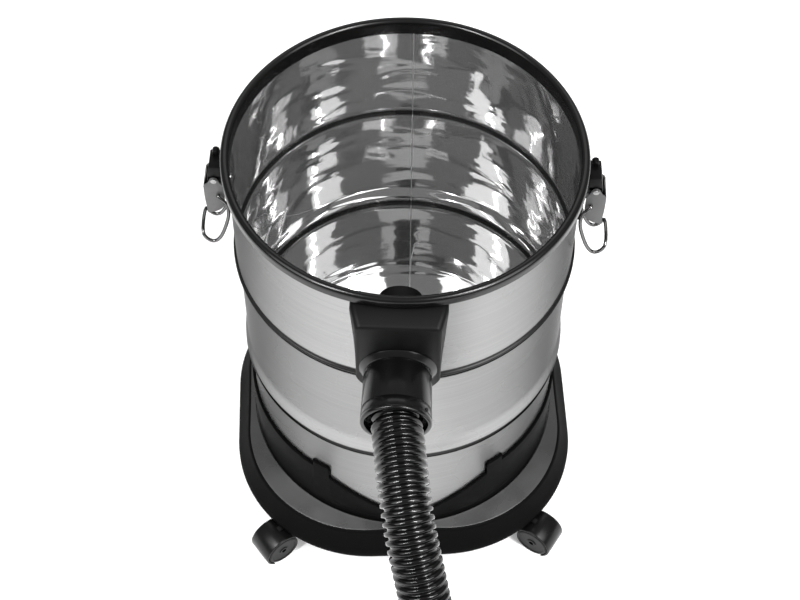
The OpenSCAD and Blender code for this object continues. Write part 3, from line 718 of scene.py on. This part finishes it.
def makeLatch():
    x, z, wide, wall, beside = latch['hingeX'], latch['hingeZ'], latch['wide'], latch['wall'], latch['besideRim']
    back, front, end, high = x - 9, x + 11, z - 51, z + latch['blockHigh']
    # base: plate on the tank, knuckle, and the low block before the rim with a short knob beside its top
    knuckleLine = [(wall, z - 5.5), (x, z - 5.5), (x + 4, z - 4), (x + 6.5, z - 3), (x + 6.5, z + 3),
                   (x + 5, z + 5.4), (wall, z + 5.4)]
    knuckle = plate('latchBase', cornersCut(knuckleLine, 1), wide)
    blockLine = [(beside, z), (x + 6.4, z), (x + 6.4, z + 3), (x + 4, high - 0.6), (x + 3, high), (beside, high)]
    upright = plate('latchBlock', blockLine, wide)
    near, far, low, top = latch['foot']
    foot = plate('latchFoot', [(near, low), (far, low), (far, top), (near, top)], wide)
    knob = placed(turned('latchKnob', latch['knob'], steps=40, ends='caps'),
                  x=latch['knobX'], z=z + latch['knobUp'], turn=(-90, 0, 0))
    for part in (knuckle, upright, foot):
        bevel(part, 0.8, segments=3)
    base = joinUp('latchBase', [knuckle, upright, foot, knob])

    # lever: two cheeks on the pin, and the web across their front
    frontLine = [(front, z - 9), (front, z - 28), (front - 1, end + 8), (front - 1.5, end)]
    cheekLine = [(back, z - 8), (x - 5.5, z - 3.5), (x - 4.5, z), (x - 3.2, z + 3.2), (x, z + 4.5),
                 (x + 3.2, z + 3.2), (x + 4.5, z), (x + 6, z - 4), (front - 1.5, z - 6.5)]
    cheekLine += frontLine + [(x + 2.5, end + 1.5), (back + 4, end + 7), (back + 1, end + 12), (back, end + 20)]
    cheeks = []
    for side in (-1, 1):
        cheek = plate('cheek', cornersCut(cheekLine, 1), latch['sheet'])
        cheeks.append(placed(cheek, y=side * (latch['cheek'] - latch['sheet'] / 2)))
    outer = cornersCut(frontLine, closed=False)
    inner = [(px - latch['sheet'], pz) for px, pz in outer]
    web = plate('leverWeb', outer + inner[::-1], 2 * latch['cheek'] - 0.2)
    bevel(web, 0.4, angle=50)
    lever = joinUp('latchLever', cheeks)
    bevel(lever, 0.35, angle=50)

    px, pz, leg = latch['pivotX'], latch['pivotZ'], latch['leg']
    half = [(px, leg - 6, pz), (px, leg, pz), (px - 8, leg, pz - 8.5), (px - 9.5, leg, pz - 26),
            (px - 3.6, leg, pz - 49), (px + 2.5, leg, pz - 65.7), (px + 9.5, leg, pz - 73),
            (px + 16.6, leg, pz - 68.6), (px + 21, leg, pz - 57)]
    bail = wire('latchBail', half + [(a, -b, c) for a, b, c in half[::-1]], latch['wire'])
    pin = placed(turned('latchPin', latch['pin'], steps=32, ends='caps'), x=x, z=z, turn=(90, 0, 0))
    return base, lever, web, bail, pin


def makeLatches():
    # made on the right, and mirrored to the left
    places = [('vacuum', satinAbs, 'latch_base', 'latchBase'), ('lever', zinc, 'latch_lever', 'latchLever'),
              ('lever', chrome, None, 'leverWeb'), ('bail', chrome, 'latch_bail', 'latchBail'),
              ('vacuum', steel, 'latch_pin', 'latchPin')]
    for piece, (body, material, node, name) in zip(makeLatch(), places):
        other = copyOf(piece, name + '_left')
        other.scale = (-1, 1, 1)
        settle(other)
        outward(other)
        piece.name = name + '_right'
        for side, each in (('left', other), ('right', piece)):
            rides = body if body == 'vacuum' else body + '_' + side
            dress(each, material, rides, [node + '_' + side] if node else ())


rivet = {
    'heights': (453.5, 477.5),
    'faces': ((173.05, -1), (178, 1)),   # the head inside the tank and the one on the plate
    'head': [(0.3, 1.7), (2.2, 1.5), (3.4, 1.0), (4.1, 0.4), (4.2, 0), (0.3, -0.2)],
}


def makeRivets():
    heads = []
    for side in (-1, 1):
        for z in rivet['heights']:
            for x, face in rivet['faces']:
                head = turned('rivetHeads', rivet['head'], steps=32, ends='caps')
                heads.append(placed(head, x=side * x, z=z, turn=(0, 90 * face * side, 0)))
    rivets = joinUp('rivetHeads', heads)
    outward(rivets)
    dress(rivets, steel, 'vacuum', ['latch_rivets'])


makeLatches()
makeRivets()
print('latches made')


cradle = {
    'inner': 169.3,
    'outer': 172.3,
    'top': 157,
    'lugTop': 166,
    'lugIn': 87,
    'lugOut': 104,
    'dipFlat': 24,
    'dipLow': 108,
    'dipHigh': 146,
    'dipTop': 190,        # the cutters reach up past the ring
    'dipY': 164,
    'dipDeep': 100,
    'cutter': (100, 400, 20),
}
dolly = {
    'half': 195,
    'cornerR': 155,
    'turn': 4,            # degrees, against the tank
    'lip': 45.4,
    'edgeHigh': 4.6,
    'stripHigh': 6,
    'stripIn': 3,
    'lean': 23,
    'deck': 83,
    'slope': 10,
    'wall': 3,
    'hole': 60,
    'seat': 92,
    'seatSheet': 4,
    'shadowWide': 0.8,    # the joint line round the cradle's foot
    'shadowDeep': 1.5,
    'boss': [(5.05, 47.4), (9.6, 47.4), (10, 47.9), (10, 64), (5.05, 64)],
    'deckUp': 0.93,       # faces that look up more than this belong to the deck
}
caster = {
    'x': 131,
    'y': 143,
    'trail': 26,
    'turn': 55,           # degrees
    'wheelR': 20,
    'wheelWide': 13,
    'web': 6,
    'gap': 0.6,
    'hoodIn': 21.2,
    'hoodOut': 23,
    'half': 16.6,
    'hub': [(3.02, -3), (13, -3), (13, 3), (3.02, 3)],
}
corners = {'fl': (-1, -1), 'fr': (1, -1), 'bl': (-1, 1), 'br': (1, 1)}


def makeCradle():
    inner, outer, base, lugTop = cradle['inner'], cradle['outer'], dolly['seat'], cradle['lugTop']
    flat, lug, above = cradle['dipFlat'], cradle['lugIn'], cradle['dipTop']
    cutWide, _, cutHigh = cradle['cutter']
    ring = turned('cradleRing', [(outer, base), (outer, lugTop), (inner, lugTop), (inner, base)], steps=360)
    dip = [(-lug, above), (-lug, cradle['dipHigh']), (-flat, cradle['dipLow']),
           (flat, cradle['dipLow']), (lug, cradle['dipHigh']), (lug, above)]
    cuts = []
    for side in (-1, 1):
        middle = (side * (cradle['lugOut'] + cutWide / 2), 0, cradle['top'] + cutHigh / 2)
        cuts.append(block('cut', cradle['cutter'], middle))
        cuts.append(placed(plate('cut', dip, cradle['dipDeep']), y=side * cradle['dipY']))
    combine(ring, cuts)
    bevel(ring, 0.6, angle=40)
    placed(ring, turn=(0, 0, dolly['turn']))
    dress(ring, lipPp, 'vacuum', ['cradle_ring'], 40)


def edgeRadius(angle, grow):
    # distance from the middle to the dolly's rounded square, grown on every side
    c, half = dolly['half'] - dolly['cornerR'], dolly['half'] + grow
    x, y = abs(math.cos(angle)), abs(math.sin(angle))
    if y * half <= c * x:
        return half / x
    if x * half <= c * y:
        return half / y
    along = c * x + c * y
    return along + math.sqrt(along ** 2 - 2 * c * c + (dolly['cornerR'] + grow) ** 2)


def makeDolly():
    steps, fall, lean = 240, math.tan(math.radians(dolly['slope'])), math.tan(math.radians(dolly['lean']))
    low, seat, inner, wall, top = dolly['lip'], dolly['seat'], cradle['outer'], dolly['wall'], dolly['deck']
    edge = low + dolly['edgeHigh']
    strip = edge + dolly['stripHigh']

    def skin(angle, drop):
        # from the upright edge at the bottom over the leaning strip and lip to the deck, drop being the depth
        # inside the outer skin
        def lip(z):
            return edgeRadius(angle, -drop - dolly['stripIn'] - (z - strip) * lean)

        def deck(r):
            return top - drop - (r - inner) * fall

        # the height where lip and deck meet, closed in on step by step
        z = top - drop - 3
        for _ in range(6):
            z = deck(lip(z))
        corner, before, after = (lip(z), z), (lip(z - 3), z - 3), (lip(z) - 3.5, deck(lip(z) - 3.5))
        turn = [tuple(before[n] * (1 - t) ** 2 + 2 * corner[n] * t * (1 - t) + after[n] * t * t for n in (0, 1))
                for t in (0, 0.2, 0.4, 0.6, 0.8, 1)]
        e = edgeRadius(angle, -drop)
        s = edgeRadius(angle, -drop - dolly['stripIn'])
        foot = [(e - 0.4, low), (e, low + 0.4), (e, edge - 0.4), (e - 0.3, edge + 0.2), (s + 0.3, strip - 0.4),
                (s - 0.2, strip + 0.2)]
        return foot + turn + [(inner + 4, deck(inner + 4))]

    gap, deep, under = inner + dolly['shadowWide'], top - dolly['shadowDeep'], seat - dolly['seatSheet']
    middle = [(gap + 0.5, top), (gap, top - 0.3), (gap, deep), (inner, deep), (inner, seat),
              (dolly['hole'], seat), (dolly['hole'], under), (inner - wall, under), (inner - wall, top - wall)]
    lines = []
    for k in range(steps):
        angle = math.tau * k / steps
        lines.append(skin(angle, 0) + middle + skin(angle, wall)[::-1])
    sections = []
    for n in range(len(lines[0])):
        section = []
        for k, line in enumerate(lines):
            angle = math.tau * k / steps
            section.append((line[n][0] * math.cos(angle), line[n][0] * math.sin(angle), line[n][1]))
        sections.append(section)
    shell = lofted('dollyBody', sections, 'loop')
    bosses = [placed(turned('boss', dolly['boss'], steps=40), x=x, y=y)
              for x in (-caster['x'], caster['x']) for y in (-caster['y'], caster['y'])]
    body = joinUp('dollyBody', [shell] + bosses)
    placed(body, turn=(0, 0, dolly['turn']))
    dress(body, [lipPp, sheenDeckPp], 'vacuum', ['dolly_body'], 40)
    # faces looking up get the deck material, whose lighter grey is painted sheen from the overhead light
    for face in body.data.polygons:
        if face.normal.z > dolly['deckUp']:
            face.material_index = 1     # the smooth deck, between the grained lip and cradle


makeCradle()
makeDolly()
print('dolly made')


def makeCasterBody():
    t, r = caster['trail'], caster['wheelR']
    h, o, i = caster['half'], caster['hoodOut'], caster['hoodIn']
    shape = [(i, -h), (o - 0.9, -h), (o - 0.35, -h + 0.35), (o, -h + 1.1),
             (o, h - 1.1), (o - 0.35, h - 0.35), (o - 0.9, h), (i, h)]
    first, sweep, count = -50, 190, 48
    sections = []
    for k in range(count + 1):
        a = math.radians(first + sweep * k / count)
        sections.append([(t + d * math.cos(a), y, r + d * math.sin(a)) for d, y in shape])
    hood = lofted('casterBody', sections)
    top = dolly['lip'] - 0.3
    webLine = [(0, top - 10), (0, top - 0.2), (20, top - 2), (30, r + 21), (40, r + 15), (43, r + 4), (40, r),
               (t + 12, r - 6), (t, r - 13), (t - 10, r - 9), (6, r + 6)]
    web = plate('web', webLine, caster['web'])
    bossRings = [(5.02, top - 8), (5.02, top), (9.4, top), (10, top - 0.6), (10, top - 9.2), (9.2, top - 10),
                 (5.02, top - 10)]
    boss = turned('boss', bossRings, steps=40)
    hub = placed(turned('hub', caster['hub'], steps=40), x=t, z=r, turn=(90, 0, 0))
    return joinUp('casterBody', [hood, web, boss, hub])


def makeWheel():
    # tread with rounded shoulders, a dished face and a small hub, all on the wheel's own axis
    w, r = caster['wheelWide'] / 2, caster['wheelR']
    half = [(3.03, w), (5, w), (5.4, w - 0.4), (5.8, w - 0.9), (16.2, w - 0.7), (16.8, w), (18.4, w),
            (19.4, w - 0.4), (r, w - 1.6)]
    rings = [(radius, -z) for radius, z in half] + half[::-1]
    return placed(turned('wheel', rings, steps=72), turn=(90, 0, 0))


def makeCasters():
    body, wheel = makeCasterBody(), makeWheel()
    turn, swing = math.radians(dolly['turn']), math.radians(caster['turn'])
    middle = caster['web'] / 2 + caster['gap'] + caster['wheelWide'] / 2
    for corner, (fx, fy) in corners.items():
        heading = math.atan2(fy * math.cos(swing), fx * math.sin(swing)) + turn
        x, y = fx * caster['x'], fy * caster['y']
        stem = Vector((x * math.cos(turn) - y * math.sin(turn), x * math.sin(turn) + y * math.cos(turn), 0))
        out = Vector((math.cos(heading), math.sin(heading), 0))
        side = Vector((-math.sin(heading), math.cos(heading), 0))
        shell = copyOf(body, 'casterBody_' + corner)
        shell.location = stem * mm
        shell.rotation_euler = (0, 0, heading)
        settle(shell)
        dress(shell, nylon, 'caster_' + corner, ['caster_body_' + corner])
        for word, s in (('in', -1), ('out', 1)):
            tyre = copyOf(wheel, 'wheel_' + word + '_disc_' + corner)
            place = stem + out * caster['trail'] + side * s * middle + Vector((0, 0, caster['wheelR']))
            tyre.location = place * mm
            tyre.rotation_euler = (0, 0, heading)
            settle(tyre)
            dress(tyre, wheelPp, 'wheel_' + word + '_' + corner, ['wheel_' + word + '_' + corner])
    for piece in (body, wheel):
        bpy.data.objects.remove(piece)


makeCasters()
print('casters made')


# the solids that are shown as they are
plainSolids = [('tank_pan', innerSteel), ('inlet_screws', steel), ('hose_catch', satinAbs)]
for corner in corners:
    plainSolids += [('caster_stem_' + corner, steel), ('caster_axle_' + corner, darkSteel)]
for name, material in plainSolids:
    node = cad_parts[name]
    node.data.materials.clear()
    node.data.materials.append(material)


paper = {'size': 14, 'under': 0.0005, 'color': '#f2f2f2', 'lift': 0.26}
softboxes = {
    'rightBox': {'place': (1.4, -1.1, 2.0), 'aim': (0, 0, 0.2), 'size': (1.6, 2.0), 'watts': 46},
    'leftBox': {'place': (-1.5, -1.0, 2.0), 'aim': (0, 0, 0.2), 'size': (1.3, 1.8), 'watts': 28},
    'backBox': {'place': (0, 1.9, 2.2), 'aim': (0, 0, 0.3), 'size': (2.2, 1.2), 'watts': 10},
    'rightStrip': {'place': (1.05, -1.05, 2.1), 'aim': (0, -0.3, 0.3), 'size': (0.14, 1.0), 'watts': 36},
    'leftStrip': {'place': (-1.0, -1.05, 2.1), 'aim': (0, -0.3, 0.3), 'size': (0.14, 1.0), 'watts': 32},
}


def makeFloor():
    # white paper; the lift is only for what the camera and glossy faces see, so it lights nothing
    deselect()
    bpy.ops.mesh.primitive_plane_add(size=paper['size'], location=(0, 0, -paper['under']))
    floor = bpy.context.active_object
    floor.name = 'floor'
    material, tree = newMaterial('paperFloor')
    path = addNode(tree, 'ShaderNodeLightPath')
    seen = mathNode(tree, 'MAXIMUM', path.outputs['Is Camera Ray'], path.outputs['Is Glossy Ray'])
    plain = addNode(tree, 'ShaderNodeBsdfDiffuse', {'Color': hexColor(paper['color'])})
    lift = addNode(tree, 'ShaderNodeEmission', {'Color': hexColor('#ffffff'), 'Strength': paper['lift']})
    both = addNode(tree, 'ShaderNodeAddShader', {0: plain.outputs[0], 1: lift.outputs[0]})
    mix = addNode(tree, 'ShaderNodeMixShader', {'Fac': seen, 1: plain.outputs[0], 2: both.outputs[0]})
    addNode(tree, 'ShaderNodeOutputMaterial', {'Surface': mix.outputs[0]})
    floor.data.materials.append(material)


def makeWorld():
    # a soft grey room, a little brighter overhead
    world = bpy.data.worlds.new('studio')
    bpy.context.scene.world = world
    world.use_nodes = True
    tree = world.node_tree
    tree.nodes.clear()
    place = addNode(tree, 'ShaderNodeTexCoord')
    parts = addNode(tree, 'ShaderNodeSeparateXYZ', {'Vector': place.outputs['Generated']})
    stops = [(0.0, 0.28), (0.3, 0.3), (0.6, 0.42), (1.0, 0.46)]
    tone = addNode(tree, 'ShaderNodeValToRGB', {'Fac': parts.outputs['Z']}, stops=stops)
    back = addNode(tree, 'ShaderNodeBackground', {'Color': tone.outputs['Color'], 'Strength': 1.0})
    addNode(tree, 'ShaderNodeOutputWorld', {'Surface': back.outputs[0]})


def hangSoftbox(name, place, aim, size, watts):
    light = bpy.data.lights.new(name, 'AREA')
    light.shape = 'RECTANGLE'
    light.size, light.size_y = size
    light.energy = watts
    lamp = bpy.data.objects.new(name, light)
    lamp.location = place
    lamp.rotation_euler = (Vector(aim) - Vector(place)).to_track_quat('-Z', 'Y').to_euler()
    bpy.context.collection.objects.link(lamp)


makeFloor()
makeWorld()
for name, softbox in softboxes.items():
    hangSoftbox(name, **softbox)
print('floor and lights set')

bpy.context.scene.view_settings.view_transform = 'Standard'
